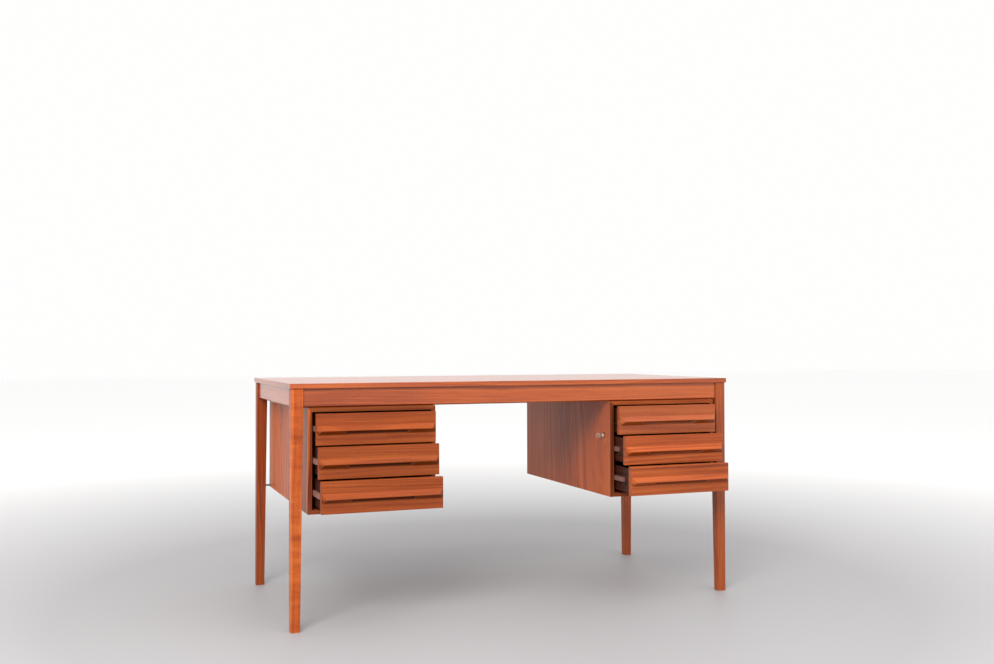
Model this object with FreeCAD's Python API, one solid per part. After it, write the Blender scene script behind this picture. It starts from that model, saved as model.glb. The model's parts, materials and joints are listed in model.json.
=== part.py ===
import FreeCAD, Part

import os
from math import cos, radians, sin

# Teak writing desk: a thin top on four tapered legs, an apron frame, and two hung pedestals with three
# drawers each. Millimetres. X runs to the right, Y to the back and Z up. The origin is on the floor,
# under the middle of the top. The drawers stand open in steps, as they are drawn out in use.

Vector = FreeCAD.Vector

# Overall sizes
DESK_WIDTH = 1500.0
DESK_DEPTH = 710.0
DESK_HEIGHT = 730.0

# Top: a veneered panel inside a mitred solid lipping
TOP_THICKNESS = 16.0
TOP_OVERHANG = 4.0
LIPPING_WIDTH = 8.0
LIPPING_LOWER_RADIUS = 3.0
LIPPING_UPPER_RADIUS = 1.2

# Legs: square at the head, tapered on the two inner faces below the aprons
LEG_HEAD = 36.0
LEG_FOOT = 28.0
LEG_ARRIS = 1.5

# Aprons, tenoned into the legs
APRON_HEIGHT = 50.0
APRON_THICKNESS = 20.0
APRON_SETBACK = 6.0
APRON_ARRIS = 1.0
TENON_THICKNESS = 8.0
TENON_SHOULDER = 7.0
TENON_WALL = 1.0
TENON_END_CLEARANCE = 1.0

# Corner blocks behind the legs
CORNER_BLOCK_REACH = 60.0
CORNER_BLOCK_HEIGHT = 30.0

# Bearers across the frame, which carry the pedestals
BEARER_WIDTH = 38.0
BEARER_INSET = 20.0
BEARER_SCREW_BITE = 25.0
BEARER_SCREW_SETBACK = 90.0

# Coach screws
SCREW_RADIUS = 2.25
SCREW_HEAD_RADIUS = 4.5
SCREW_HEAD_HEIGHT = 2.5
SCREW_CLEARANCE = 0.15

# Steel ties from the backs of the pedestals' bottoms to the back legs
TIE_HEIGHT = 6.0
TIE_THICKNESS = 1.6
TIE_PEDESTAL_REACH = 26.0
TIE_LEG_REACH = 14.0
TIE_SCREW_INSET = 5.0
TIE_SCREW_RADIUS = 1.5
TIE_SCREW_HEAD_RADIUS = 2.75
TIE_SCREW_HEAD_HEIGHT = 1.6
TIE_SCREW_BITE = 12.0

# Pedestals: boxes of mitred boards with a grooved-in back
PEDESTAL_WIDTH = 394.0
PEDESTAL_HEIGHT = 314.5
PEDESTAL_LEG_GAP = 13.5
PEDESTAL_PROUD = 3.0
SHADOW_GAP = 6.0
PANEL_THICKNESS = 12.5
BACK_THICKNESS = 6.0
BACK_INSET = 8.0
BACK_GROOVE = 5.0

# Drawer fronts, inset between the boards
FRONT_THICKNESS = 18.5
FRONT_SIDE_GAP = 2.5
FRONT_TOP_GAP = 3.0
FRONT_BOTTOM_GAP = 4.0
FRONT_BETWEEN_GAP = 2.5
FRONT_CHAMFER = 0.8

# Pull: a hipped ridge along the whole front, with a finger scoop routed into its underside
PULL_PROTRUSION = 15.0
PULL_NOSE_DROP = 48.0
PULL_NOSE_HEIGHT = 2.0
PULL_UPPER_RISE = 14.0
PULL_LOWER_FALL = 13.0
PULL_END_INSET = 2.0
PULL_HIP = 12.0
SCOOP_RADIUS = 9.0
SCOOP_SETBACK = 6.5
SCOOP_DROP = 9.5
SCOOP_END_MARGIN = 68.0
SCOOP_RUNOUT = 26.0

# Drawer boxes, whose sides slide up into dovetail housings behind the fronts
DRAWER_BACK_GAP = 70.0
SIDE_INSET = 10.0
SIDE_THICKNESS = 11.0
SIDE_TOP_DROP = 8.0
SIDE_BOTTOM_RISE = 6.0
DOVETAIL_LENGTH = 7.0
DOVETAIL_NECK = 6.0
DOVETAIL_END = 8.4
BOX_BACK_THICKNESS = 11.0
BOX_BACK_DADO = 5.0
BOTTOM_THICKNESS = 5.0
BOTTOM_RISE = 6.0
BOTTOM_GROOVE = 5.0

# Slide strips on the drawers, and the runners and kickers that they slide between
STRIP_HEIGHT = 14.5
STRIP_FRONT_GAP = 20.0
STRIP_BAR_GAP = 2.0
STRIP_BACK_GAP = 10.0
STRIP_SIDE_CLEARANCE = 0.4
RUNNER_HEIGHT = 10.0
RUNNER_STRIKER_GAP = 3.2
RUNNER_SIDE_CLEARANCE = 1.5
RUNNING_CLEARANCE = 0.3
KICKER_CLEARANCE = 0.8

# How far each drawer stands open
OPEN_LEFT_TOP = 52.0
OPEN_LEFT_MIDDLE = 85.0
OPEN_LEFT_BOTTOM = 122.0
OPEN_RIGHT_TOP = 37.0
OPEN_RIGHT_MIDDLE = 79.0
OPEN_RIGHT_BOTTOM = 115.0

# Lock in the kneehole side of the right pedestal
LOCK_SETBACK = 50.0
LOCK_DROP = 28.5
ROSETTE_RADIUS = 10.0
ROSETTE_THICKNESS = 2.5
BARREL_RADIUS = 7.0
BARREL_CLEARANCE = 0.1
PLUG_RADIUS = 4.5
PLUG_CLEARANCE = 0.1
LOCK_END_CLEARANCE = 0.2
CAM_THICKNESS = 2.0
CAM_CLEARANCE = 0.2
CAM_THROW = 5.0
CAM_PIN_RADIUS = 1.6
CAM_PIN_OVERHANG = 0.2
CAM_PIN_CLEARANCE = 0.35
CAM_REST_DEGREES = -45.0
KEY_STEM_LENGTH = 8.0
KEY_STEM_RADIUS = 2.0
KEY_BOW_RADIUS = 8.5
KEY_BOW_THICKNESS = 2.4
KEY_BOW_HOLE_RADIUS = 3.2

# Locking bar, its guides, and the strikers that its fingers stand in front of
BAR_WIDTH = 20.0
BAR_THICKNESS = 1.6
BAR_CLEARANCE = 0.2
BAR_MARGIN = 6.0
FINGER_CLEARANCE = 1.7
FINGER_WIDTH = 8.0
FINGER_HEIGHT = 7.0
FINGER_DROP = 10.5
GUIDE_DROP = 6.25
GUIDE_RADIUS = 2.0
GUIDE_HEAD_RADIUS = 4.0
GUIDE_HEAD_HEIGHT = 1.2
GUIDE_BITE = 7.0
GUIDE_CLEARANCE = 0.3
STRIKER_BAR_GAP = 2.2
STRIKER_LENGTH = 12.0
STRIKER_HEIGHT = 6.0
STRIKER_THICKNESS = 1.5
STRIKER_DROP = 9.0
STRIKER_CLEARANCE = 0.8

# How far a cutting shape runs past the face that it cuts, and how near counts as the same place
OVERRUN = 5.0
NEAR = 0.01

# Places worked out from the sizes
LEVELS = ("top", "middle", "bottom")
TOP_BOTTOM = DESK_HEIGHT - TOP_THICKNESS
LEG_X = DESK_WIDTH / 2 - TOP_OVERHANG
LEG_Y = DESK_DEPTH / 2 - TOP_OVERHANG
APRON_X = LEG_X - APRON_SETBACK
APRON_Y = LEG_Y - APRON_SETBACK
APRON_BOTTOM = TOP_BOTTOM - APRON_HEIGHT
MORTISE_DEPTH = LEG_HEAD - APRON_SETBACK - (APRON_THICKNESS + TENON_THICKNESS) / 2 - TENON_WALL
TENON_LENGTH = MORTISE_DEPTH - TENON_END_CLEARANCE
PEDESTAL_TOP = APRON_BOTTOM - SHADOW_GAP
PEDESTAL_BOTTOM = PEDESTAL_TOP - PEDESTAL_HEIGHT
PEDESTAL_OUTER = LEG_X - LEG_HEAD - PEDESTAL_LEG_GAP
PEDESTAL_INNER = PEDESTAL_OUTER - PEDESTAL_WIDTH
PEDESTAL_FRONT = -LEG_Y - PEDESTAL_PROUD
PEDESTAL_BACK = LEG_Y
INSIDE_TOP = PEDESTAL_TOP - PANEL_THICKNESS
INSIDE_BOTTOM = PEDESTAL_BOTTOM + PANEL_THICKNESS
INSIDE_BACK = PEDESTAL_BACK - BACK_INSET - BACK_THICKNESS
FRONT_ROOM = INSIDE_TOP - INSIDE_BOTTOM - FRONT_TOP_GAP - FRONT_BOTTOM_GAP
FRONT_PITCH = (FRONT_ROOM + FRONT_BETWEEN_GAP) / len(LEVELS)
FRONT_HEIGHT = FRONT_PITCH - FRONT_BETWEEN_GAP
STRIP_DROP = FRONT_TOP_GAP + FRONT_HEIGHT / 2 + STRIP_HEIGHT / 2
FINGER_FOOT_DROP = FINGER_DROP + FINGER_HEIGHT
TIE_Z = PEDESTAL_BOTTOM + (PANEL_THICKNESS - BACK_GROOVE) / 2
TIE_INNER_END = PEDESTAL_OUTER - TIE_PEDESTAL_REACH
TIE_OUTER_END = LEG_X - LEG_FOOT + TIE_LEG_REACH
PEDESTAL_SPANS = {
    "left": (-PEDESTAL_OUTER, -PEDESTAL_INNER),
    "right": (PEDESTAL_INNER, PEDESTAL_OUTER),
}
OPENINGS = {
    ("left", "top"): OPEN_LEFT_TOP,
    ("left", "middle"): OPEN_LEFT_MIDDLE,
    ("left", "bottom"): OPEN_LEFT_BOTTOM,
    ("right", "top"): OPEN_RIGHT_TOP,
    ("right", "middle"): OPEN_RIGHT_MIDDLE,
    ("right", "bottom"): OPEN_RIGHT_BOTTOM,
}
LOCK_Y = PEDESTAL_FRONT + LOCK_SETBACK
LOCK_Z = INSIDE_TOP - STRIP_DROP - FINGER_FOOT_DROP - LOCK_DROP
LOCK_WALL = PEDESTAL_INNER + PANEL_THICKNESS
LOCK_SIDE_STRIP_Y = LOCK_Y + BAR_WIDTH / 2 + STRIP_BAR_GAP
STRIKER_Y = LOCK_Y + FINGER_WIDTH / 2 + STRIKER_CLEARANCE
CAM_FACE = LOCK_WALL - LOCK_END_CLEARANCE
BAR_FACE = LOCK_WALL + BAR_CLEARANCE
BAR_BACK = BAR_FACE + BAR_THICKNESS
BAR_LIFT = 2 * CAM_THROW * sin(radians(-CAM_REST_DEGREES))


def block(x0, x1, y0, y1, z0, z1):
    """Box between two corners."""
    return Part.makeBox(x1 - x0, y1 - y0, z1 - z0, Vector(x0, y0, z0))


def prism(outline, run):
    """Solid of a closed outline of points, drawn along the vector run."""
    face = Part.Face(Part.makePolygon(outline + outline[:1]))
    return face.extrude(run)


def rod(radius, start, end):
    """Round bar between two points."""
    run = end - start
    return Part.makeCylinder(radius, run.Length, start, run)


def mirror_x(shape):
    return shape.mirror(Vector(0, 0, 0), Vector(1, 0, 0))


def mirror_y(shape):
    return shape.mirror(Vector(0, 0, 0), Vector(0, 1, 0))


def near(place, other):
    return abs(place - other) < NEAR


def rounded(shape, radius, chosen):
    """Rounds the edges whose middle the test picks."""
    edges = [edge for edge in shape.Edges if chosen(edge.CenterOfMass)]
    return shape.makeFillet(radius, edges)


def rounded_rectangle(x0, x1, y0, y1, z, radius):
    """Level wire of a rectangle with rounded corners."""
    centres = (
        (x1 - radius, y1 - radius),
        (x0 + radius, y1 - radius),
        (x0 + radius, y0 + radius),
        (x1 - radius, y0 + radius),
    )
    arcs = []
    for quarter, (x, y) in enumerate(centres):
        circle = Part.Circle(Vector(x, y, z), Vector(0, 0, 1), radius)
        arcs.append(circle.toShape(radians(90 * quarter), radians(90 * quarter + 90)))
    edges = []
    for arc, following in zip(arcs, arcs[1:] + arcs[:1]):
        edges.append(arc)
        edges.append(Part.makeLine(arc.Vertexes[-1].Point, following.Vertexes[0].Point))
    return Part.Wire(edges)


def six_sided(radius, low, high):
    """Upright six-sided bar on the Z axis."""
    turns = [radians(corner) for corner in range(0, 360, 60)]
    outline = [Vector(radius * cos(turn), radius * sin(turn), low) for turn in turns]
    return prism(outline, Vector(0, 0, high - low))


def coach_screw(x, y, seat, length):
    """Screw driven upwards, with its hexagon head under the face at seat."""
    shank = rod(SCREW_RADIUS, Vector(0, 0, 0), Vector(0, 0, length))
    screw = six_sided(SCREW_HEAD_RADIUS, -SCREW_HEAD_HEIGHT, 0).fuse(shank).removeSplitter()
    screw.translate(Vector(x, y, seat))
    return screw


def screw_hole(x, y, seat, length):
    """Clearance for the shank of a coach screw."""
    start = Vector(x, y, seat - OVERRUN)
    return rod(SCREW_RADIUS + SCREW_CLEARANCE, start, Vector(x, y, seat + length + SCREW_CLEARANCE))


# Frame

def top_panel():
    x = DESK_WIDTH / 2 - LIPPING_WIDTH
    y = DESK_DEPTH / 2 - LIPPING_WIDTH
    return block(-x, x, -y, y, TOP_BOTTOM, DESK_HEIGHT)


def lipping_strip(half_run, half_span):
    """Strip along X at the low side of Y, mitred at both ends."""
    strip = block(-half_run, half_run, -half_span, LIPPING_WIDTH - half_span, TOP_BOTTOM, DESK_HEIGHT)

    def along_outside(point, z):
        return near(point.x, 0) and near(point.y, -half_span) and near(point.z, z)

    strip = rounded(strip, LIPPING_LOWER_RADIUS, lambda p: along_outside(p, TOP_BOTTOM))
    strip = rounded(strip, LIPPING_UPPER_RADIUS, lambda p: along_outside(p, DESK_HEIGHT))
    inner_run = half_run - LIPPING_WIDTH
    inner_span = half_span - LIPPING_WIDTH
    outline = [
        Vector(-half_run, -half_span, TOP_BOTTOM),
        Vector(half_run, -half_span, TOP_BOTTOM),
        Vector(inner_run, -inner_span, TOP_BOTTOM),
        Vector(-inner_run, -inner_span, TOP_BOTTOM),
    ]
    return strip.common(prism(outline, Vector(0, 0, TOP_THICKNESS)))


def top_lippings():
    long_strip = lipping_strip(DESK_WIDTH / 2, DESK_DEPTH / 2)
    short_strip = lipping_strip(DESK_DEPTH / 2, DESK_WIDTH / 2)
    short_strip.rotate(Vector(0, 0, 0), Vector(0, 0, 1), 90)
    return {
        "top_lipping_long": Part.makeCompound([long_strip, mirror_y(long_strip)]),
        "top_lipping_short": Part.makeCompound([short_strip, mirror_x(short_strip)]),
    }


def tenon_heights():
    return APRON_BOTTOM + TENON_SHOULDER, TOP_BOTTOM - TENON_SHOULDER


def tenon_band(apron_face):
    """Low and high side of the tenon behind an apron's outer face."""
    middle = apron_face - APRON_THICKNESS / 2
    return middle - TENON_THICKNESS / 2, middle + TENON_THICKNESS / 2


def leg():
    """Back right leg, with the mortises of the two aprons that meet in it."""
    def section(size, z):
        return rounded_rectangle(LEG_X - size, LEG_X, LEG_Y - size, LEG_Y, z, LEG_ARRIS)

    sections = [section(LEG_FOOT, 0), section(LEG_HEAD, APRON_BOTTOM), section(LEG_HEAD, TOP_BOTTOM)]
    body = Part.makeLoft(sections, True, True)
    z0, z1 = tenon_heights()
    x = LEG_X - LEG_HEAD
    y = LEG_Y - LEG_HEAD
    across = block(x - OVERRUN, x + MORTISE_DEPTH, *tenon_band(APRON_Y), z0, z1)
    along = block(*tenon_band(APRON_X), y - OVERRUN, y + MORTISE_DEPTH, z0, z1)
    return body.cut(across).cut(along)


def legs():
    front_right = mirror_y(leg())
    back_right = leg().cut(tie_bores())
    return {
        "leg_back_right": back_right,
        "leg_back_left": mirror_x(back_right),
        "leg_front_right": front_right,
        "leg_front_left": mirror_x(front_right),
    }


def apron_back():
    """Apron along X behind the drawers, with a tenon at each end."""
    x = LEG_X - LEG_HEAD
    board = block(-x, x, APRON_Y - APRON_THICKNESS, APRON_Y, APRON_BOTTOM, TOP_BOTTOM)
    board = rounded(board, APRON_ARRIS, lambda p: near(p.z, APRON_BOTTOM) and near(p.y, APRON_Y))
    tenons = block(-x - TENON_LENGTH, x + TENON_LENGTH, *tenon_band(APRON_Y), *tenon_heights())
    return board.fuse(tenons).removeSplitter()


def apron_right():
    """Apron along Y between the right-hand legs, with a tenon at each end."""
    y = LEG_Y - LEG_HEAD
    board = block(APRON_X - APRON_THICKNESS, APRON_X, -y, y, APRON_BOTTOM, TOP_BOTTOM)
    board = rounded(board, APRON_ARRIS, lambda p: near(p.z, APRON_BOTTOM) and near(p.x, APRON_X))
    tenons = block(*tenon_band(APRON_X), -y - TENON_LENGTH, y + TENON_LENGTH, *tenon_heights())
    return board.fuse(tenons).removeSplitter()


def aprons():
    back = apron_back()
    right = apron_right()
    return {
        "apron_back": back,
        "apron_front": mirror_y(back),
        "apron_right": right,
        "apron_left": mirror_x(right),
    }


def corner_blocks():
    """Blocks glued in the corners, which tie two aprons, the leg between them and the top."""
    leg_x = LEG_X - LEG_HEAD
    leg_y = LEG_Y - LEG_HEAD
    wall_x = APRON_X - APRON_THICKNESS
    wall_y = APRON_Y - APRON_THICKNESS
    z = TOP_BOTTOM - CORNER_BLOCK_HEIGHT
    outline = [
        Vector(leg_x, leg_y, z),
        Vector(leg_x, wall_y, z),
        Vector(leg_x - CORNER_BLOCK_REACH, wall_y, z),
        Vector(wall_x, leg_y - CORNER_BLOCK_REACH, z),
        Vector(wall_x, leg_y, z),
    ]
    solid = prism(outline, Vector(0, 0, CORNER_BLOCK_HEIGHT))
    solids = []
    for right in (solid, mirror_y(solid)):
        solids += [right, mirror_x(right)]
    return Part.makeCompound(solids)


def bearer_lines():
    """Middle line of each bearer across the frame, for both pedestals."""
    return [x for low, high in PEDESTAL_SPANS.values() for x in (low + BEARER_INSET, high - BEARER_INSET)]


def bearer_screw_places(lines):
    y = APRON_Y - APRON_THICKNESS - BEARER_SCREW_SETBACK
    return [(x, sign * y) for x in lines for sign in (-1, 1)]


def pedestal_bearers():
    """Bearers between the front and back aprons, notched round the corner blocks."""
    y = APRON_Y - APRON_THICKNESS
    corners = corner_blocks()
    solids = []
    for x in bearer_lines():
        bearer = block(x - BEARER_WIDTH / 2, x + BEARER_WIDTH / 2, -y, y, PEDESTAL_TOP, TOP_BOTTOM)
        holes = [screw_hole(*place, PEDESTAL_TOP, BEARER_SCREW_BITE) for place in bearer_screw_places([x])]
        solids.append(bearer.cut(corners).cut(holes))
    return Part.makeCompound(solids)


def pedestal_screws():
    """Screws from inside the pedestals, up through their tops into the bearers."""
    length = PANEL_THICKNESS + BEARER_SCREW_BITE
    places = bearer_screw_places(bearer_lines())
    return Part.makeCompound([coach_screw(*place, INSIDE_TOP, length) for place in places])


def tie_screw_lines():
    """Where the right tie's screws stand along it: in the pedestal's bottom and in the leg."""
    return TIE_INNER_END + TIE_SCREW_INSET, TIE_OUTER_END - TIE_SCREW_INSET


def tie_bar(radius, x, back, length):
    """Six-sided bar that runs forwards from back, at the height of the ties."""
    bar = six_sided(radius, 0, length)
    bar.rotate(Vector(0, 0, 0), Vector(1, 0, 0), 90)
    bar.translate(Vector(x, back, TIE_Z))
    return bar


def tie_bores():
    """Clearance for the right tie's screws, which are six-sided to keep their faces few."""
    radius = TIE_SCREW_RADIUS + SCREW_CLEARANCE
    length = OVERRUN + TIE_SCREW_BITE + SCREW_CLEARANCE
    return [tie_bar(radius, x, LEG_Y + OVERRUN, length) for x in tie_screw_lines()]


def pedestal_ties():
    """Flat steel ties on the backs of the pedestals and the legs, with their screws."""
    seat = LEG_Y + TIE_THICKNESS
    half = TIE_HEIGHT / 2
    solids = [block(TIE_INNER_END, TIE_OUTER_END, LEG_Y, seat, TIE_Z - half, TIE_Z + half).cut(tie_bores())]
    for x in tie_screw_lines():
        head = tie_bar(TIE_SCREW_HEAD_RADIUS, x, seat + TIE_SCREW_HEAD_HEIGHT, TIE_SCREW_HEAD_HEIGHT)
        shank = tie_bar(TIE_SCREW_RADIUS, x, seat, TIE_THICKNESS + TIE_SCREW_BITE)
        solids.append(head.fuse(shank).removeSplitter())
    return Part.makeCompound(solids + [mirror_x(solid) for solid in solids])


# Pedestals

def strip_bottom(level):
    """Height of the underside of a drawer's slide strips."""
    return INSIDE_TOP - STRIP_DROP - level * FRONT_PITCH


def pedestal_back(low, high):
    reach = PANEL_THICKNESS - BACK_GROOVE
    y = PEDESTAL_BACK - BACK_INSET
    return block(low + reach, high - reach, INSIDE_BACK, y, PEDESTAL_BOTTOM + reach, PEDESTAL_TOP - reach)


def pedestal_boards(low, high):
    """Bottom, high side, top and low side, mitred to each other and grooved for the back."""
    outside = [(low, PEDESTAL_BOTTOM), (high, PEDESTAL_BOTTOM), (high, PEDESTAL_TOP), (low, PEDESTAL_TOP)]
    inside_low = low + PANEL_THICKNESS
    inside_high = high - PANEL_THICKNESS
    inside = [
        (inside_low, INSIDE_BOTTOM),
        (inside_high, INSIDE_BOTTOM),
        (inside_high, INSIDE_TOP),
        (inside_low, INSIDE_TOP),
    ]
    back = pedestal_back(low, high)
    boards = []
    for this in range(len(outside)):
        following = (this + 1) % len(outside)
        corners = (outside[this], outside[following], inside[following], inside[this])
        outline = [Vector(x, PEDESTAL_FRONT, z) for x, z in corners]
        boards.append(prism(outline, Vector(0, PEDESTAL_BACK - PEDESTAL_FRONT, 0)).cut(back))
    return boards


def pedestal_runners(low, high):
    """A runner under and a kicker over each slide strip, on both sides of the pedestal."""
    width = FRONT_SIDE_GAP + SIDE_INSET - RUNNER_SIDE_CLEARANCE
    inside_low = low + PANEL_THICKNESS
    inside_high = high - PANEL_THICKNESS
    y0 = STRIKER_Y + STRIKER_LENGTH + RUNNER_STRIKER_GAP
    solids = []
    for level in range(len(LEVELS)):
        runner_top = strip_bottom(level) - RUNNING_CLEARANCE
        kicker_bottom = strip_bottom(level) + STRIP_HEIGHT + KICKER_CLEARANCE
        for x0, x1 in ((inside_low, inside_low + width), (inside_high - width, inside_high)):
            for z in (runner_top - RUNNER_HEIGHT, kicker_bottom):
                solids.append(block(x0, x1, y0, INSIDE_BACK, z, z + RUNNER_HEIGHT))
    return Part.makeCompound(solids)


def lock_bore():
    """Holes in the kneehole side of the right pedestal, for the lock's barrel and for the guides."""
    start = Vector(PEDESTAL_INNER - OVERRUN, LOCK_Y, LOCK_Z)
    end = Vector(LOCK_WALL + OVERRUN, LOCK_Y, LOCK_Z)
    cutters = [rod(BARREL_RADIUS + BARREL_CLEARANCE, start, end)]
    for z in guide_heights():
        deep = Vector(LOCK_WALL - GUIDE_BITE, LOCK_Y, z)
        cutters.append(rod(GUIDE_RADIUS, deep, Vector(LOCK_WALL + OVERRUN, LOCK_Y, z)))
    return cutters


def pedestal(side):
    low, high = PEDESTAL_SPANS[side]
    bottom, high_side, top, low_side = pedestal_boards(low, high)
    places = bearer_screw_places([low + BEARER_INSET, high - BEARER_INSET])
    holes = [screw_hole(*place, INSIDE_TOP, PANEL_THICKNESS + OVERRUN) for place in places]
    outer, inner = (low_side, high_side)
    bores = [mirror_x(bore) for bore in tie_bores()]
    if side == "right":
        outer, inner = (high_side, low_side.cut(lock_bore()))
        bores = tie_bores()
    name = "pedestal_" + side
    return {
        name + "_top": top.cut(holes),
        name + "_bottom": bottom.cut(bores),
        name + "_outer_side": outer,
        name + "_inner_side": inner,
        name + "_back": pedestal_back(low, high),
        name + "_runners": pedestal_runners(low, high),
    }


# Drawers, built closed and then drawn out

def pull_ridge(x0, x1, front_top):
    """Hipped ridge: four flat slopes that rise from the front to a narrow nose."""
    nose_top = front_top - PULL_NOSE_DROP
    nose_bottom = nose_top - PULL_NOSE_HEIGHT

    def rectangle(start, end, low, high, y):
        return [Vector(x, y, z) for x, z in ((start, low), (end, low), (end, high), (start, high))]

    foot0 = x0 + PULL_END_INSET
    foot1 = x1 - PULL_END_INSET
    foot_bottom = nose_bottom - PULL_LOWER_FALL
    foot = rectangle(foot0, foot1, foot_bottom, nose_top + PULL_UPPER_RISE, PEDESTAL_FRONT)
    nose_y = PEDESTAL_FRONT - PULL_PROTRUSION
    nose = rectangle(foot0 + PULL_HIP, foot1 - PULL_HIP, nose_bottom, nose_top, nose_y)
    outlines = [foot, nose]
    for this in range(len(foot)):
        following = (this + 1) % len(foot)
        outlines.append([foot[this], foot[following], nose[following], nose[this]])
    faces = [Part.Face(Part.makePolygon(outline + outline[:1])) for outline in outlines]
    return Part.makeSolid(Part.makeShell(faces))


def finger_scoop(x0, x1, front_top):
    """Cove cutter along the underside of the ridge, with slanted ends."""
    y = PEDESTAL_FRONT - PULL_PROTRUSION + SCOOP_SETBACK
    z = front_top - PULL_NOSE_DROP - SCOOP_DROP
    start = x0 + SCOOP_END_MARGIN
    end = x1 - SCOOP_END_MARGIN
    cove = rod(SCOOP_RADIUS, Vector(start, y, z), Vector(end, y, z))
    low = z - SCOOP_RADIUS
    outline = [
        Vector(start, y - SCOOP_RADIUS, low),
        Vector(end, y - SCOOP_RADIUS, low),
        Vector(end - SCOOP_RUNOUT, y + SCOOP_RADIUS, low),
        Vector(start + SCOOP_RUNOUT, y + SCOOP_RADIUS, low),
    ]
    return cove.common(prism(outline, Vector(0, 0, 2 * SCOOP_RADIUS)))


def drawer_front(x0, x1, z0, z1, joints):
    """Front board with its pull, and the housings for the box behind it."""
    board = block(x0, x1, PEDESTAL_FRONT, PEDESTAL_FRONT + FRONT_THICKNESS, z0, z1)
    rim = [edge for edge in board.Edges if near(edge.CenterOfMass.y, PEDESTAL_FRONT)]
    board = board.makeChamfer(FRONT_CHAMFER, rim)
    front = board.fuse(pull_ridge(x0, x1, z1)).removeSplitter()
    return front.cut(finger_scoop(x0, x1, z1)).cut(joints)


def drawer_side(x0, x1, front_back, box_back, z0, z1):
    """Side board, with a dovetail tongue at its front end."""
    board = block(x0, x1, front_back, box_back, z0, z1)
    middle = (x0 + x1) / 2
    end = front_back - DOVETAIL_LENGTH
    outline = [
        Vector(middle - DOVETAIL_NECK / 2, front_back, z0),
        Vector(middle + DOVETAIL_NECK / 2, front_back, z0),
        Vector(middle + DOVETAIL_END / 2, end, z0),
        Vector(middle - DOVETAIL_END / 2, end, z0),
    ]
    return board.fuse(prism(outline, Vector(0, 0, z1 - z0))).removeSplitter()


def drawer(side, level):
    """Nodes of one drawer, drawn out by its opening."""
    low, high = PEDESTAL_SPANS[side]
    margin = PANEL_THICKNESS + FRONT_SIDE_GAP
    x0 = low + margin
    x1 = high - margin
    z1 = INSIDE_TOP - FRONT_TOP_GAP - level * FRONT_PITCH
    z0 = z1 - FRONT_HEIGHT
    front_back = PEDESTAL_FRONT + FRONT_THICKNESS
    box_back = INSIDE_BACK - DRAWER_BACK_GAP
    side_z0 = z0 + SIDE_BOTTOM_RISE
    side_z1 = z1 - SIDE_TOP_DROP
    out0 = x0 + SIDE_INSET
    out1 = x1 - SIDE_INSET
    in0 = out0 + SIDE_THICKNESS
    in1 = out1 - SIDE_THICKNESS
    bottom_z0 = side_z0 + BOTTOM_RISE
    bottom_z1 = bottom_z0 + BOTTOM_THICKNESS

    places = ((out0, in0), (in1, out1))
    sides = [drawer_side(a, b, front_back, box_back, side_z0, side_z1) for a, b in places]
    bottom = block(
        in0 - BOTTOM_GROOVE, in1 + BOTTOM_GROOVE, front_back - BOTTOM_GROOVE, box_back, bottom_z0, bottom_z1
    )
    back_y0 = box_back - 2 * BOX_BACK_THICKNESS
    back = block(
        in0 - BOX_BACK_DADO, in1 + BOX_BACK_DADO, back_y0, back_y0 + BOX_BACK_THICKNESS, bottom_z1, side_z1
    )
    front = drawer_front(x0, x1, z0, z1, sides + [bottom])
    strip_z = strip_bottom(level)
    strip_y0 = front_back + STRIP_FRONT_GAP
    low_strip_y0 = LOCK_SIDE_STRIP_Y if side == "right" else strip_y0
    strip_y1 = box_back - STRIP_BACK_GAP
    strip_z1 = strip_z + STRIP_HEIGHT
    strips = [
        block(x0 + STRIP_SIDE_CLEARANCE, out0, low_strip_y0, strip_y1, strip_z, strip_z1),
        block(out1, x1 - STRIP_SIDE_CLEARANCE, strip_y0, strip_y1, strip_z, strip_z1),
    ]
    fitted_sides = [one.cut([bottom, back]) for one in sides]
    name = "drawer_" + side + "_" + LEVELS[level]
    nodes = {}
    if side == "right":
        nodes[name + "_striker"] = striker(out0, strip_z)
    nodes[name + "_front"] = front
    nodes[name + "_box"] = Part.makeCompound(fitted_sides + [back])
    nodes[name + "_bottom"] = bottom
    nodes[name + "_slide_strips"] = Part.makeCompound(strips)
    drawn_out = Vector(0, -OPENINGS[side, LEVELS[level]], 0)
    for shape in nodes.values():
        shape.translate(drawn_out)
    return nodes


def striker(side_face, strip_z):
    """Steel angle on the drawer's side, whose lip is behind the raised finger when the drawer is shut."""
    z0 = strip_z - STRIKER_DROP
    z1 = z0 + STRIKER_HEIGHT
    foot = block(side_face - STRIKER_THICKNESS, side_face, STRIKER_Y, STRIKER_Y + STRIKER_LENGTH, z0, z1)
    lip = block(BAR_BACK + STRIKER_BAR_GAP, side_face, STRIKER_Y, STRIKER_Y + STRIKER_THICKNESS, z0, z1)
    return foot.fuse(lip).removeSplitter()


# Lock

def guide_heights():
    """One guide under the top drawer's finger, and one under the middle drawer's."""
    return [strip_bottom(level) - FINGER_FOOT_DROP - GUIDE_DROP for level in (0, 1)]


def on_lock_axis(x):
    return Vector(x, LOCK_Y, LOCK_Z)


def lock_cylinder():
    """Rosette on the face of the pedestal, with the barrel behind it."""
    face = PEDESTAL_INNER - ROSETTE_THICKNESS
    barrel_end = CAM_FACE - CAM_THICKNESS - LOCK_END_CLEARANCE
    rosette = rod(ROSETTE_RADIUS, on_lock_axis(face), on_lock_axis(PEDESTAL_INNER))
    barrel = rod(BARREL_RADIUS, on_lock_axis(PEDESTAL_INNER), on_lock_axis(barrel_end))
    bore_end = on_lock_axis(barrel_end + OVERRUN)
    bore = rod(PLUG_RADIUS + PLUG_CLEARANCE, on_lock_axis(face - OVERRUN), bore_end)
    return rosette.fuse(barrel).removeSplitter().cut(bore)


def cam_pin_offset(angle):
    """Place of the eccentric pin across and above the lock's axis."""
    return CAM_THROW * cos(radians(angle)), CAM_THROW * sin(radians(angle))


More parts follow.
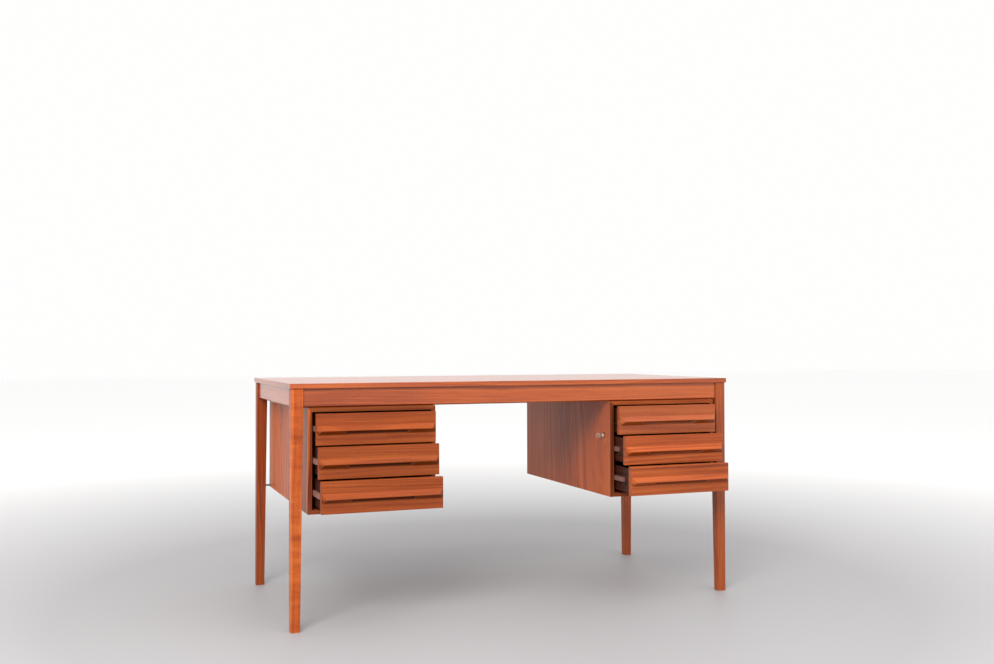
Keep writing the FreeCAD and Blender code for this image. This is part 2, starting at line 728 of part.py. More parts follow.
def lock_key():
    """Plug with its eccentric pin, and the key that stands in it."""
    face = PEDESTAL_INNER - ROSETTE_THICKNESS
    cam_back = CAM_FACE - CAM_THICKNESS
    plug = rod(PLUG_RADIUS, on_lock_axis(face), on_lock_axis(cam_back))
    cam = rod(BARREL_RADIUS - CAM_CLEARANCE, on_lock_axis(cam_back), on_lock_axis(CAM_FACE))
    across, above = cam_pin_offset(CAM_REST_DEGREES)
    offset = Vector(0, across, above)
    pin_end = BAR_BACK + CAM_PIN_OVERHANG
    pin = rod(CAM_PIN_RADIUS, on_lock_axis(CAM_FACE) + offset, on_lock_axis(pin_end) + offset)
    bow_middle = face - KEY_STEM_LENGTH - KEY_BOW_RADIUS
    stem = rod(KEY_STEM_RADIUS, on_lock_axis(face), on_lock_axis(bow_middle + KEY_BOW_RADIUS / 2))
    half = Vector(0, KEY_BOW_THICKNESS / 2, 0)
    bow = rod(KEY_BOW_RADIUS, on_lock_axis(bow_middle) - half, on_lock_axis(bow_middle) + half)
    eye_reach = Vector(0, KEY_BOW_THICKNESS + OVERRUN, 0)
    eye_middle = on_lock_axis(bow_middle - KEY_BOW_RADIUS / 4)
    eye = rod(KEY_BOW_HOLE_RADIUS, eye_middle - eye_reach, eye_middle + eye_reach)
    return plug.fuse([cam, pin, stem, bow]).removeSplitter().cut(eye)


def lock_bar():
    """Flat bar that the cam pin lifts, with a riveted finger for each drawer."""
    cut0 = BAR_FACE - OVERRUN
    cut1 = BAR_BACK + OVERRUN
    finger_feet = [strip_bottom(level) - FINGER_FOOT_DROP for level in range(len(LEVELS))]
    highest = max(finger_feet) + FINGER_HEIGHT + BAR_MARGIN
    half = BAR_WIDTH / 2
    bar = block(BAR_FACE, BAR_BACK, LOCK_Y - half, LOCK_Y + half, min(finger_feet) - BAR_MARGIN, highest)
    across, above = cam_pin_offset(CAM_REST_DEGREES)
    room = CAM_PIN_RADIUS + CAM_PIN_CLEARANCE
    cuts = [
        block(
            cut0, cut1,
            LOCK_Y + across - room, LOCK_Y + CAM_THROW + room,
            LOCK_Z + above - room, LOCK_Z + above + room,
        )
    ]
    guide_room = GUIDE_RADIUS + GUIDE_CLEARANCE
    for z in guide_heights():
        cuts.append(
            block(
                cut0, cut1,
                LOCK_Y - guide_room, LOCK_Y + guide_room,
                z - guide_room - BAR_LIFT, z + guide_room,
            )
        )
    finger_tip = LOCK_WALL + FRONT_SIDE_GAP + SIDE_INSET - FINGER_CLEARANCE
    y0 = LOCK_Y - FINGER_WIDTH / 2
    solids = [bar.cut(cuts)]
    for z in finger_feet:
        solids.append(block(BAR_BACK, finger_tip, y0, y0 + FINGER_WIDTH, z, z + FINGER_HEIGHT))
    return Part.makeCompound(solids)


def lock_bar_guides():
    """Shoulder screws in the pedestal's side, through the slots of the bar."""
    head_face = BAR_BACK + BAR_CLEARANCE
    solids = []
    for z in guide_heights():
        shank = rod(GUIDE_RADIUS, Vector(LOCK_WALL - GUIDE_BITE, LOCK_Y, z), Vector(head_face, LOCK_Y, z))
        end = Vector(head_face + GUIDE_HEAD_HEIGHT, LOCK_Y, z)
        head = rod(GUIDE_HEAD_RADIUS, Vector(head_face, LOCK_Y, z), end)
        solids.append(shank.fuse(head).removeSplitter())
    return Part.makeCompound(solids)


def desk():
    """Every node of the desk by its name."""
    nodes = {"top_panel": top_panel()}
    nodes.update(top_lippings())
    nodes.update(legs())
    nodes.update(aprons())
    nodes["corner_blocks"] = corner_blocks()
    nodes["pedestal_bearers"] = pedestal_bearers()
    nodes["pedestal_screws"] = pedestal_screws()
    nodes["pedestal_ties"] = pedestal_ties()
    for side in PEDESTAL_SPANS:
        nodes.update(pedestal(side))
        for level in range(len(LEVELS)):
            nodes.update(drawer(side, level))
    nodes["lock_cylinder"] = lock_cylinder()
    nodes["lock_key"] = lock_key()
    nodes["lock_bar"] = lock_bar()
    nodes["lock_bar_guides"] = lock_bar_guides()
    return nodes


os.makedirs("parts", exist_ok=True)
for name, shape in desk().items():
    shape.exportStep("parts/" + name + ".step")
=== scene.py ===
import json
import math
import random

import bmesh
import bpy
from mathutils import Euler, Matrix, Vector

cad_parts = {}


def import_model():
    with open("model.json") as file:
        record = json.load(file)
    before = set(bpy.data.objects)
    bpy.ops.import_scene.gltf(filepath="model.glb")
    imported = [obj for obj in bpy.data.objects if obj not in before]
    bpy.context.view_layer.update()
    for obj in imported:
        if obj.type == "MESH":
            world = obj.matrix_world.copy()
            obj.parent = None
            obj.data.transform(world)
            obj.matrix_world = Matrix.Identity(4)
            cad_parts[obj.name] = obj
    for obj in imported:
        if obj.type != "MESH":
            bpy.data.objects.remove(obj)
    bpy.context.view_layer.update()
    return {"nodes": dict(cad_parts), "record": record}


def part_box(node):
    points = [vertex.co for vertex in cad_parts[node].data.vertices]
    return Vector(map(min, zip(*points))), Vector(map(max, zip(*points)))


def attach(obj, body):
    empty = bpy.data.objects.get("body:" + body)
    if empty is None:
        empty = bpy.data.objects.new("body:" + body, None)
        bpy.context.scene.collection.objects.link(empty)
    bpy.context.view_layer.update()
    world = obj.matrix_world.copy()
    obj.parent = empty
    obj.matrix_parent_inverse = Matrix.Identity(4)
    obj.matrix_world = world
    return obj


# Looks of a teak writing desk with two hung pedestals. Metres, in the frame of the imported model.

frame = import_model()
nodes = frame["nodes"]

# Camera, solved from the photograph's perspective. Angles are in degrees
PHOTO_WIDTH = 994
FOCAL_PIXELS = 1045.8
SENSOR_WIDTH = 36.0
CAMERA_PLACE = (-1.2981, -3.4326, 0.8293)
CAMERA_YAW = 21.2961
CAMERA_PITCH = 0.9626
CAMERA_ROLL = 0.0923

# Teak, as linear colours from the dark late wood to the light early wood
TEAK_DARK = (0.170, 0.025, 0.0035)
TEAK_MIDDLE = (0.330, 0.061, 0.0085)
TEAK_LIGHT = (0.460, 0.108, 0.0190)
TEAK_PORE = (0.070, 0.012, 0.0030)

# Other woods
DRAWER_DARK = (0.025, 0.0060, 0.0036)
DRAWER_MIDDLE = (0.054, 0.0130, 0.0068)
DRAWER_LIGHT = (0.085, 0.0225, 0.0115)
STRIP_DARK = (0.175, 0.078, 0.062)
STRIP_MIDDLE = (0.232, 0.112, 0.092)
STRIP_LIGHT = (0.285, 0.146, 0.122)
PLY_DARK = (0.130, 0.062, 0.030)
PLY_MIDDLE = (0.200, 0.105, 0.052)
PLY_LIGHT = (0.270, 0.150, 0.078)
FRAME_DARK = (0.085, 0.042, 0.022)
FRAME_MIDDLE = (0.140, 0.072, 0.038)
FRAME_LIGHT = (0.200, 0.108, 0.058)

# Grain: where a board may lie in its log, along it, across it and out from the pith
LOG_ALONG = (-5.0, 5.0)
LOG_ACROSS = (-0.4, 0.4)
LOG_RADIUS = (0.25, 0.6)
# Grain: how fine each pattern is, along the grain and across it
SWAY_FINENESS = (0.9, 3.0)
RIPPLE_FINENESS = (3.0, 22.0)
FIBRE_FINENESS = (7.0, 520.0)
CLOUD_FINENESS = (1.1, 5.0)
CURL_FINENESS = (42.0, 8.0)
PORE_FINENESS = (55.0, 1500.0)
# Grain: how far the rings sway and ripple, how close they are, and how much each pattern shows
SWAY_DEPTH = 0.16
RIPPLE_DEPTH = 0.010
RING_DENSITY = 95.0
RING_SHARE = 0.46
FIBRE_SHARE = 0.40
CLOUD_SHARE = 0.48
# Grain: the span of the mixed patterns that goes from dark to light, and the colours' places in it
GRAIN_MIDDLE = 0.67
GRAIN_SPREAD = 0.21
DARK_PLACE = 0.05
MIDDLE_PLACE = 0.50
LIGHT_PLACE = 0.97
# Grain: pores start and end in the noise, fibres change the gloss, and both give a fine relief
PORE_RANGE = (0.60, 0.72)
FIBRE_RANGE = (0.2, 0.8)
FIBRE_GLOSS = 0.06
FIBRE_RELIEF = 0.5
GRAIN_DEPTH = 0.00012

# Metals: colours, gloss, fine marks and slow stains
STEEL_COLOUR = (0.20, 0.195, 0.19)
KEY_COLOUR = (0.90, 0.80, 0.74)
ROSETTE_COLOUR = (0.27, 0.18, 0.155)
STEEL_ROUGHNESS = 0.38
NICKEL_ROUGHNESS = 0.30
BRUSHED_FINENESS = (60.0, 2200.0)
POLISHED_FINENESS = (900.0, 900.0)
MARK_RANGE = (0.3, 0.7)
MARK_SHINE = 0.07
MARK_DULLNESS = 0.10
MARK_RELIEF = 0.12
MARK_DEPTH = 0.00004
STAIN_FINENESS = 160.0
STAIN_RANGE = (0.3, 0.75)
STAIN_SHADE = 0.72

# Solid lipping on the front edges of the pedestals' boards, darker than the board, partly by its own tone
# and partly as painted shade
LIPPING_BACK = -0.3500
LIPPING_JOINT = 0.0002
LIPPING_PAINTED_SHADE = 0.60

# Pulls: painted shade under the nose, darker in the finger scoop, and a painted highlight on the upward
# slope
PULL_PROTRUSION = 0.0150
PULL_NOSE_DROP = 0.0503
PULL_FOOT_DROP = 0.0615
PULL_END_INSET = 0.0020
SCOOP_FLOOR = 0.0024
NOSE_FADE = 0.0005
FOOT_FADE = 0.0025
SCOOP_FADE = 0.0008
SLOPE_FADE = 0.0020
UNDERSIDE_PAINTED_SHADE = 0.38
SCOOP_PAINTED_SHADE = 0.70
RIDGE_PAINTED_LIGHT = 0.17

# Softened edges
ARRIS_WIDTH = 0.0005
METAL_ARRIS_WIDTH = 0.00025
ARRIS_SEGMENTS = 2
WELD_DISTANCE = 0.000005
FLAT_ANGLE = math.radians(0.3)
EDGE_ANGLE = math.radians(25)
SMOOTH_ANGLE = math.radians(40)

# Lower edge of the aprons: a short flat and then a slope, down to just over the pedestals
EDGE_LAP = 0.0012
EDGE_FLAT = 0.0015
EDGE_SLOPE = 0.0060
EDGE_PROUD = 0.00005
EDGE_CLEARANCE = 0.0005

# Room
FLOOR_SIZE = 60.0
FLOOR_NEAR = (0.345, 0.340, 0.352)
FLOOR_FAR = (0.97, 0.97, 0.97)
FLOOR_FADE = (1.4, 4.4)
FLOOR_ROUGHNESS = 0.55
WORLD_COLOUR = (1.0, 0.995, 0.99)
WORLD_STRENGTH = 1.0
LIGHTS = {
    "window_left": dict(
        place=(-2.6, -3.6, 3.0), target=(0.1, -0.2, 0.5),
        size=(2.2, 1.8), power=230, colour=(1.0, 0.97, 0.93),
    ),
    "ceiling_front": dict(
        place=(0.4, -2.2, 3.6), target=(0.0, -0.3, 0.4),
        size=(4.0, 2.5), power=60, colour=(1.0, 0.98, 0.96),
    ),
}

# Finish of each slot
WOODS = {
    "teak_veneer": dict(colours=(TEAK_DARK, TEAK_MIDDLE, TEAK_LIGHT, TEAK_PORE)),
    "teak_solid": dict(colours=(TEAK_DARK, TEAK_MIDDLE, TEAK_LIGHT, TEAK_PORE), figure=0.6),
    "drawer_wood": dict(
        colours=(DRAWER_DARK, DRAWER_MIDDLE, DRAWER_LIGHT, DRAWER_DARK),
        figure=0.4, roughness=0.5, shine=0.25,
    ),
    "strip_wood": dict(
        colours=(STRIP_DARK, STRIP_MIDDLE, STRIP_LIGHT, STRIP_DARK),
        figure=0.3, pore_share=0.2, roughness=0.5, shine=0.3,
    ),
    "drawer_ply": dict(colours=(PLY_DARK, PLY_MIDDLE, PLY_LIGHT, PLY_DARK), roughness=0.55, shine=0.3),
    "frame_wood": dict(
        colours=(FRAME_DARK, FRAME_MIDDLE, FRAME_LIGHT, FRAME_DARK),
        figure=0.5, roughness=0.6, shine=0.3,
    ),
}
# The top and the aprons have a higher polish
POLISHED = dict(roughness=0.16, shine=0.6, relief=0.05)
# Boards of the same log differ in how dark they are, and the tones also carry painted light and shade: the
# back left leg is darker as painted shade and the right pedestal's inner side lighter as painted light. The
# first name that a node starts with counts
TONES = {
    "leg_front_left": 1.10, "leg_front_right": 0.80, "leg_back_left": 0.75, "leg_back_right": 1.06,
    "drawer_left_middle": 0.64, "drawer_left": 0.68, "drawer_right_middle": 0.95, "drawer_right": 0.86,
    "pedestal_left_outer": 1.20, "pedestal_left": 0.75,
    "pedestal_right_inner": 1.12, "pedestal_right": 0.93,
    "top_lipping": 0.95, "apron_left": 1.06,
}
# Pieces with a figure, a gloss or a tone of their own
FIGURES = {
    "leg_front_left": dict(curl=0.5),
    "leg_front_right": dict(shine=0.40),
    "leg_back_right": dict(shine=0.36),
    # Front edges with more or less painted shade: lighter on the right top, darker on the right inner side
    "pedestal_right_top": dict(lipping_painted_shade=0.80),
    "pedestal_right_inner_side": dict(lipping_painted_shade=0.33),
    "pedestal_left_outer_side": dict(contrast=2.6),
    # Per front: more or less painted shade under the nose and painted light on the slope
    "drawer_left_middle_front": dict(painted_light_share=0.06),
    "drawer_right_top_front": dict(tone=0.78, shine=0.45, painted_shade_share=0.55),
    "drawer_right_middle_front": dict(shine=0.30, painted_shade_share=0.55, painted_light_share=0.36),
    "drawer_right_bottom_front": dict(shine=0.30, painted_shade_share=0.60, painted_light_share=0.27),
    # The slide strips' lower tones are painted shade, where they sit in the pedestals' shadow
    "drawer_left_top_slide_strips": dict(tone=0.60),
    "drawer_right_top_slide_strips": dict(tone=0.72),
    "drawer_right_middle_slide_strips": dict(tone=0.72),
    "drawer_right_bottom_slide_strips": dict(tone=0.72),
}


class Tree:
    """A short way to write the nodes of one material."""

    MIX_FIRST = 6
    MIX_SECOND = 7
    MIX_RESULT = 2

    def __init__(self, name):
        self.material = bpy.data.materials.new(name)
        self.material.use_nodes = True
        self.nodes = self.material.node_tree.nodes
        self.links = self.material.node_tree.links
        self.shader = self.nodes["Principled BSDF"]

    def add(self, kind, inputs=None, **settings):
        """New node, with its settings and inputs."""
        node = self.nodes.new(kind)
        for key, value in settings.items():
            setattr(node, key, value)
        for key, value in (inputs or {}).items():
            self.put(node.inputs[key], value)
        return node

    def put(self, socket, value):
        """Links a socket into an input, or sets the input to a constant."""
        if isinstance(value, bpy.types.NodeSocket):
            self.links.new(value, socket)
        else:
            socket.default_value = value

    def math(self, operation, *values):
        """One step of arithmetic."""
        node = self.nodes.new("ShaderNodeMath")
        node.operation = operation
        for socket, value in zip(node.inputs, values):
            self.put(socket, value)
        return node.outputs[0]

    def own_space(self):
        """The piece's own coordinates."""
        return self.add("ShaderNodeTexCoord").outputs["Object"]

    def split(self, vector):
        """X, Y and Z of a vector."""
        return self.add("ShaderNodeSeparateXYZ", {0: vector}).outputs

    def length(self, vector):
        """Length of a vector."""
        return self.add("ShaderNodeVectorMath", {0: vector}, operation="LENGTH").outputs["Value"]

    def noise(self, vector, scale, detail=3.0, roughness=0.55):
        """Soft noise in space."""
        inputs = {"Vector": vector, "Scale": scale, "Detail": detail, "Roughness": roughness}
        return self.add("ShaderNodeTexNoise", inputs).outputs["Fac"]

    def grain_noise(self, space, fineness, detail=3.0, roughness=0.55):
        """Noise that is stretched along the grain, which is X."""
        along, across = fineness
        inputs = {0: space, 1: (along, across, across)}
        stretched = self.add("ShaderNodeVectorMath", inputs, operation="MULTIPLY").outputs[0]
        return self.noise(stretched, 1.0, detail, roughness)

    def line_noise(self, place, scale, detail=2.0, roughness=0.5):
        """Noise along one number, so that it makes bands."""
        inputs = {"W": place, "Scale": scale, "Detail": detail, "Roughness": roughness}
        return self.add("ShaderNodeTexNoise", inputs, noise_dimensions="1D").outputs["Fac"]

    def ramp(self, value, stops):
        """Colour that goes from stop to stop."""
        node = self.add("ShaderNodeValToRGB", {"Fac": value})
        elements = node.color_ramp.elements
        while len(elements) < len(stops):
            elements.new(1.0)
        for element, (place, colour) in zip(elements, stops):
            element.position = place
            element.color = (*colour, 1.0)
        return node.outputs["Color"]

    def remap(self, value, low, high, to_low=0.0, to_high=1.0):
        """Straight change from one range to another, held at its ends."""
        inputs = {"Value": value, "From Min": low, "From Max": high, "To Min": to_low, "To Max": to_high}
        return self.add("ShaderNodeMapRange", inputs).outputs["Result"]

    def mix(self, share, first, second, blend="MIX"):
        """Two colours mixed."""
        node = self.add("ShaderNodeMix", data_type="RGBA", blend_type=blend)
        self.put(node.inputs["Factor"], share)
        self.put(node.inputs[self.MIX_FIRST], first)
        self.put(node.inputs[self.MIX_SECOND], second)
        return node.outputs[self.MIX_RESULT]

    def shade(self, **values):
        """Sets inputs of the shader, with _ for the spaces in their names."""
        for key, value in values.items():
            self.put(self.shader.inputs[key.replace("_", " ")], value)

    def bump(self, height, strength, distance):
        """Fine relief."""
        inputs = {"Height": height, "Strength": strength, "Distance": distance}
        self.shade(Normal=self.add("ShaderNodeBump", inputs).outputs["Normal"])


def grain_space(tree, axis, shift):
    """The piece's own coordinates, with the grain turned to X, shifted to a place in the log."""
    own = tree.split(tree.own_space())
    order = {"X": (0, 1, 2), "Y": (1, 0, 2), "Z": (2, 0, 1)}[axis]
    turned = tree.add("ShaderNodeCombineXYZ", {i: own[o] for i, o in enumerate(order)}).outputs[0]
    return tree.add("ShaderNodeVectorMath", {0: turned, 1: shift}, operation="ADD").outputs[0]


def growth_rings(tree, space, figure):
    """Rings round a far pith, which sway and ripple."""
    sway = tree.grain_noise(space, SWAY_FINENESS, 2.0)
    ripple = tree.grain_noise(space, RIPPLE_FINENESS)
    _, across, out = tree.split(space)
    flat = tree.add("ShaderNodeCombineXYZ", {0: 0.0, 1: across, 2: out}).outputs[0]
    bent = tree.math("MULTIPLY_ADD", sway, SWAY_DEPTH * figure, tree.length(flat))
    bent = tree.math("MULTIPLY_ADD", ripple, RIPPLE_DEPTH * figure, bent)
    return tree.line_noise(bent, RING_DENSITY, 3.0, 0.6)


def pull_painted_light_and_shade(tree, start, end, face, top, painted_shade_share, painted_light_share):
    """Painted light on the pull's upward slope, and painted shade under its nose, darker in the scoop."""
    x, y, z = tree.split(tree.own_space())
    nose = top - PULL_NOSE_DROP
    foot = top - PULL_FOOT_DROP
    scoop = face - SCOOP_FLOOR
    under = tree.remap(z, nose - NOSE_FADE, nose, 1.0, 0.0)
    under = tree.math("MULTIPLY", under, tree.remap(z, foot, foot + FOOT_FADE))
    under = tree.math("MULTIPLY", under, tree.remap(x, start, start + PULL_END_INSET))
    under = tree.math("MULTIPLY", under, tree.remap(x, end, end - PULL_END_INSET))
    # Painted shade under the pull's nose, deeper in the finger scoop
    painted_shade = tree.remap(y, scoop - SCOOP_FADE, scoop, painted_shade_share * UNDERSIDE_PAINTED_SHADE, painted_shade_share * SCOOP_PAINTED_SHADE)
    unshaded = tree.math("SUBTRACT", 1.0, tree.math("MULTIPLY", under, painted_shade))
    # Painted highlight on the slope above the nose, which faces up to the light
    over = tree.remap(z, nose - NOSE_FADE, nose)
    slope = tree.math("MULTIPLY", over, tree.remap(y, face, face - SLOPE_FADE))
    slope_painted_light = tree.math("MULTIPLY_ADD", slope, painted_light_share, 1.0)
    return slope_painted_light, unshaded


def wood(
    name, axis, seed, colours, tone=1.0, figure=1.0, contrast=1.0, curl=0.0, lipped=False, pull=None,
    painted_shade_share=1.0, painted_light_share=RIDGE_PAINTED_LIGHT, lipping_painted_shade=LIPPING_PAINTED_SHADE, pore_share=0.5, roughness=0.38, shine=0.22,
    relief=0.20,
):
    """Wood cut from a log: rings, fine fibre, curl, open pores and slow changes of tone, with lipping that
    is partly painted shade, and painted light and shade on the pulls.
    """
    dark, middle, light, pore = [tuple(tone * c for c in colour) for colour in colours]
    draw = random.Random(seed)
    shift = (draw.uniform(*LOG_ALONG), draw.uniform(*LOG_ACROSS), draw.uniform(*LOG_RADIUS))
    tree = Tree(name)
    space = grain_space(tree, axis, shift)

    rings = growth_rings(tree, space, figure)
    fibre = tree.grain_noise(space, FIBRE_FINENESS, 4.0, 0.6)
    cloud = tree.grain_noise(space, CLOUD_FINENESS, 2.0)
    mixed = tree.math("MULTIPLY_ADD", fibre, FIBRE_SHARE, tree.math("MULTIPLY", rings, RING_SHARE))
    mixed = tree.math("MULTIPLY_ADD", cloud, CLOUD_SHARE, mixed)
    if curl:
        waves = tree.grain_noise(space, CURL_FINENESS, 2.0)
        mixed = tree.math("MULTIPLY_ADD", tree.math("SUBTRACT", waves, 0.5), curl, mixed)
    half = GRAIN_SPREAD / contrast
    place = tree.remap(mixed, GRAIN_MIDDLE - half, GRAIN_MIDDLE + half)
    colour = tree.ramp(place, ((DARK_PLACE, dark), (MIDDLE_PLACE, middle), (LIGHT_PLACE, light)))

    dashes = tree.grain_noise(space, PORE_FINENESS, 2.0, 0.5)
    pores = tree.remap(dashes, *PORE_RANGE)
    colour = tree.mix(tree.math("MULTIPLY", pores, pore_share), colour, (*pore, 1.0))
    # Darker front strip of the lipping: partly its own tone, partly painted shade
    if lipped:
        depth = tree.split(tree.own_space())[1]
        shade = tree.remap(depth, LIPPING_BACK, LIPPING_BACK + LIPPING_JOINT, lipping_painted_shade, 1.0)
        colour = tree.mix(1.0, colour, shade, "MULTIPLY")
    if pull:
        # The wood under the nose is darker and less glossy as painted shade, and the slope lighter as
        # painted light
        slope_painted_light, unshaded = pull_painted_light_and_shade(tree, *pull, painted_shade_share, painted_light_share)
        colour = tree.mix(1.0, colour, tree.math("MULTIPLY", slope_painted_light, unshaded), "MULTIPLY")
        shine = tree.math("MULTIPLY", unshaded, shine)
    gloss = tree.remap(fibre, *FIBRE_RANGE, roughness + FIBRE_GLOSS, roughness - FIBRE_GLOSS)
    tree.shade(Base_Color=colour, Roughness=gloss, Specular_IOR_Level=shine)
    height = tree.math("SUBTRACT", tree.math("MULTIPLY", fibre, FIBRE_RELIEF), pores)
    tree.bump(height, relief, GRAIN_DEPTH)
    return tree.material


def metal(name, colour, roughness, fineness):
    """Metal with slow stains and fine marks along Z."""
    tree = Tree(name)
    space = grain_space(tree, "Z", (0.0, 0.0, 0.0))
    marks = tree.grain_noise(space, fineness, 4.0)
    stain = tree.noise(space, STAIN_FINENESS)
    stained = tuple(STAIN_SHADE * c for c in colour)
    body = tree.ramp(tree.remap(stain, *STAIN_RANGE), ((0.0, colour), (1.0, stained)))
    gloss = tree.remap(marks, *MARK_RANGE, roughness - MARK_SHINE, roughness + MARK_DULLNESS)
    tree.shade(Base_Color=body, Roughness=gloss, Metallic=1.0)
    tree.bump(marks, MARK_RELIEF, MARK_DEPTH)
    return tree.material


def metals():
    """Finish of each metal node: dull steel, a dark rosette and a pale key."""
    finishes = {
        "lock_cylinder": metal("lock_cylinder_nickel", ROSETTE_COLOUR, NICKEL_ROUGHNESS, POLISHED_FINENESS),
        "lock_key": metal("lock_key_nickel", KEY_COLOUR, NICKEL_ROUGHNESS, POLISHED_FINENESS),
    }
    steel = metal("steel", STEEL_COLOUR, STEEL_ROUGHNESS, BRUSHED_FINENESS)
    for part in frame["record"]["subparts"]:
        if part["material_slot"] == "steel":
            finishes[part["node"]] = steel
    return finishes


def grain_axis(name):
    """Which way the grain runs in a node."""
    if name.startswith("leg_"):
        return "Z"
    if name.startswith("pedestal_") and name.endswith(("_side", "_back")):
        return "Z"
    if name.endswith(("_box", "_slide_strips", "_runners")):
        return "Y"
    if name in ("apron_left", "apron_right", "top_lipping_short", "pedestal_bearers"):
        return "Y"
    return "X"


def is_front(name):
    """Drawer fronts have their chamfers and scoops in the CAD, and keep their edges as they are."""
    return name.startswith("drawer_") and name.endswith("_front")


def board_tone(name):
    """How dark a board is."""
    for key, tone in TONES.items():
        if name.startswith(key):
            return tone
    return 1.0


def wood_look(name, slot):
    """What a wooden node's finish differs in."""
    look = dict(WOODS[slot])
    if slot.startswith("teak"):
        look["tone"] = board_tone(name)
        look["lipped"] = name.startswith("pedestal_") and not name.endswith("_back")
    if is_front(name):
        low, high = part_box(name)
        look["pull"] = (low[0], high[0], low[1] + PULL_PROTRUSION, high[2])
    if name.startswith(("top_", "apron_")):
        look.update(POLISHED)
    look.update(FIGURES.get(name, {}))
    return look


def smooth_shading():
    """Modifier group that shades gentle turns smooth and leaves edges sharp."""
    group = bpy.data.node_groups.new("smooth_shading", "GeometryNodeTree")
    group.interface.new_socket("Geometry", in_out="INPUT", socket_type="NodeSocketGeometry")
    group.interface.new_socket("Geometry", in_out="OUTPUT", socket_type="NodeSocketGeometry")
    start = group.nodes.new("NodeGroupInput")
    end = group.nodes.new("NodeGroupOutput")
    faces = group.nodes.new("GeometryNodeSetShadeSmooth")
    edges = group.nodes.new("GeometryNodeSetShadeSmooth")
    edges.domain = "EDGE"
    angle = group.nodes.new("GeometryNodeInputMeshEdgeAngle")
    gentle = group.nodes.new("FunctionNodeCompare")
    gentle.operation = "LESS_EQUAL"
    gentle.inputs["B"].default_value = SMOOTH_ANGLE
    group.links.new(angle.outputs["Unsigned Angle"], gentle.inputs["A"])
    group.links.new(start.outputs[0], faces.inputs["Geometry"])
    group.links.new(faces.outputs[0], edges.inputs["Geometry"])
    group.links.new(gentle.outputs[0], edges.inputs["Shade Smooth"])
    group.links.new(edges.outputs[0], end.inputs[0])
    return group


def soften(piece, width, smooth):
    """Rounds the sharp edges of a piece a little, so that they catch the light."""
    weld = piece.modifiers.new("weld", "WELD")
    weld.merge_threshold = WELD_DISTANCE
    flat = piece.modifiers.new("flat", "DECIMATE")
    flat.decimate_type = "DISSOLVE"
    flat.angle_limit = FLAT_ANGLE
    arris = piece.modifiers.new("arris", "BEVEL")
    arris.width = width
    arris.segments = ARRIS_SEGMENTS
    arris.limit_method = "ANGLE"
    arris.angle_limit = EDGE_ANGLE
    shading = piece.modifiers.new("shading", "NODES")
    shading.node_group = smooth
    level = piece.modifiers.new("level", "WEIGHTED_NORMAL")
    level.keep_sharp = True


def dress(smooth):
    """Gives every node its finish."""
    slots = {part["node"]: part["material_slot"] for part in frame["record"]["subparts"]}
    metal_finishes = metals()
    for seed, name in enumerate(sorted(nodes)):
        slot = slots[name]
        width = ARRIS_WIDTH
        if name in metal_finishes:
            finish = metal_finishes[name]
            width = METAL_ARRIS_WIDTH
        else:
            finish = wood(name + "_" + slot, grain_axis(name), seed, **wood_look(name, slot))
        nodes[name].data.materials.clear()
        nodes[name].data.materials.append(finish)
        if not is_front(name):
            soften(nodes[name], width, smooth)


def link(piece):
    """Puts an object into the scene."""
    bpy.context.scene.collection.objects.link(piece)


def edge_profile(apron_bottom, thickness):
    """Section of an apron's lower edge: depth behind the apron's face, and height."""
    top = apron_bottom + EDGE_LAP
    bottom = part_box("pedestal_left_top")[1][2] + EDGE_CLEARANCE
    back = thickness - EDGE_CLEARANCE
    return (
        (-EDGE_PROUD, top), (-EDGE_PROUD, apron_bottom - EDGE_FLAT), (EDGE_SLOPE, bottom),
        (back, bottom), (back, top),
    )


def apron_edge(side, smooth):
    """Sloped lower edge of an apron, from leg to leg."""
    low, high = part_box("apron_" + side)
    across = 0 if side in ("left", "right") else 1
    along = 1 - across
    leg_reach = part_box("leg_front_left")[1][along]
    inward = 1 if side in ("left", "front") else -1
    face = low[across] if inward > 0 else high[across]
    profile = edge_profile(low[2], high[across] - low[across])
    points = []
    for end in (leg_reach, -leg_reach):
        for depth, height in profile:
            point = [0.0, 0.0, height]
            point[along] = end
            point[across] = face + inward * depth
            points.append(point)
    count = len(profile)
    sides = [(i, (i + 1) % count, count + (i + 1) % count, count + i) for i in range(count)]
    ends = [tuple(range(count)), tuple(range(2 * count - 1, count - 1, -1))]
    name = "apron_" + side + "_lower_edge"
    mesh = bpy.data.meshes.new(name)
    mesh.from_pydata(points, [], sides + ends)
    form = bmesh.new()
    form.from_mesh(mesh)
    bmesh.ops.recalc_face_normals(form, faces=form.faces)
    form.to_mesh(mesh)
    form.free()
    mesh.materials.append(nodes["apron_" + side].data.materials[0])
    piece = bpy.data.objects.new(name, mesh)
    link(piece)
    soften(piece, ARRIS_WIDTH, smooth)
    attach(piece, "desk_frame")


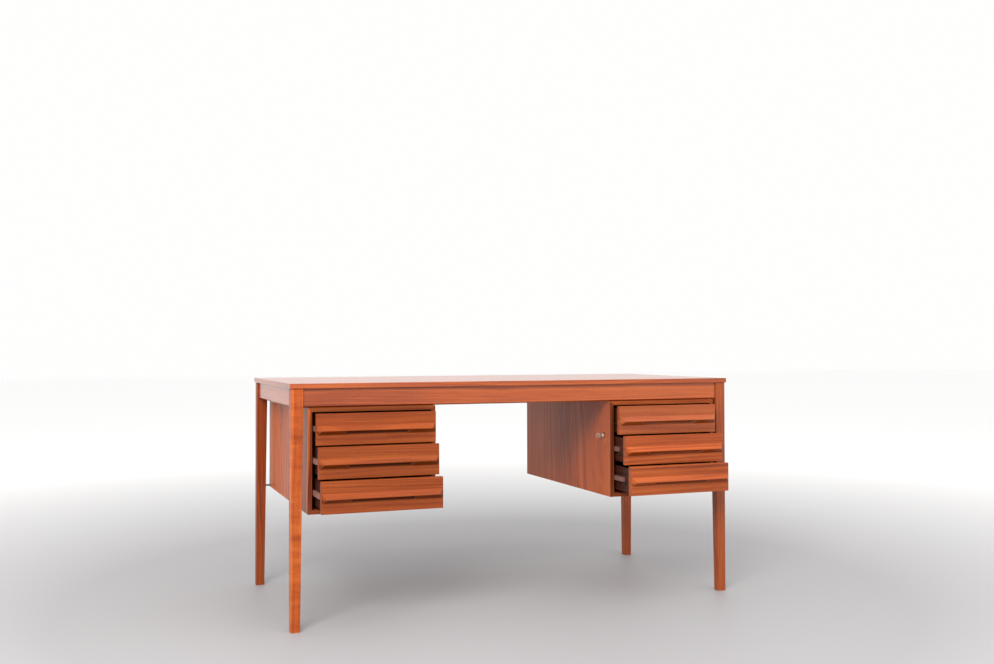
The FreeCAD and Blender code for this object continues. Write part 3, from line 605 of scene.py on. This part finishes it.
def floor():
    """Plain pale floor, which fades to white."""
    half = FLOOR_SIZE / 2
    corners = [(-half, -half, 0), (half, -half, 0), (half, half, 0), (-half, half, 0)]
    mesh = bpy.data.meshes.new("floor")
    mesh.from_pydata(corners, [], [(0, 1, 2, 3)])
    plane = bpy.data.objects.new("floor", mesh)
    link(plane)
    tree = Tree("floor")
    far = tree.length(tree.own_space())
    colour = tree.ramp(tree.remap(far, *FLOOR_FADE), ((0.0, FLOOR_NEAR), (1.0, FLOOR_FAR)))
    tree.shade(Base_Color=colour, Roughness=FLOOR_ROUGHNESS)
    mesh.materials.append(tree.material)


def world():
    """Even white surroundings."""
    studio = bpy.data.worlds.new("studio")
    studio.use_nodes = True
    background = studio.node_tree.nodes["Background"]
    background.inputs["Color"].default_value = (*WORLD_COLOUR, 1.0)
    background.inputs["Strength"].default_value = WORLD_STRENGTH
    bpy.context.scene.world = studio


def area_light(name, place, target, size, power, colour):
    """Soft rectangular light that points at a target."""
    data = bpy.data.lights.new(name, "AREA")
    data.shape = "RECTANGLE"
    data.size, data.size_y = size
    data.energy = power
    data.color = colour
    lamp = bpy.data.objects.new(name, data)
    lamp.location = place
    lamp.rotation_euler = (Vector(target) - Vector(place)).to_track_quat("-Z", "Y").to_euler()
    link(lamp)


def camera():
    """Camera at the photograph's viewing angle."""
    data = bpy.data.cameras.new("camera")
    data.sensor_width = SENSOR_WIDTH
    data.lens = SENSOR_WIDTH * FOCAL_PIXELS / PHOTO_WIDTH
    view = bpy.data.objects.new("camera", data)
    view.location = CAMERA_PLACE
    turn = Euler((math.radians(90 + CAMERA_PITCH), 0, math.radians(-CAMERA_YAW))).to_matrix()
    view.rotation_euler = (turn @ Matrix.Rotation(math.radians(-CAMERA_ROLL), 3, "Z")).to_euler()
    link(view)
    bpy.context.scene.camera = view


smooth_group = smooth_shading()
dress(smooth_group)
for apron_side in ("front", "back", "left", "right"):
    apron_edge(apron_side, smooth_group)
floor()
world()
for light_name, light in LIGHTS.items():
    area_light(light_name, **light)
camera()
bpy.context.scene.view_settings.view_transform = "Standard"
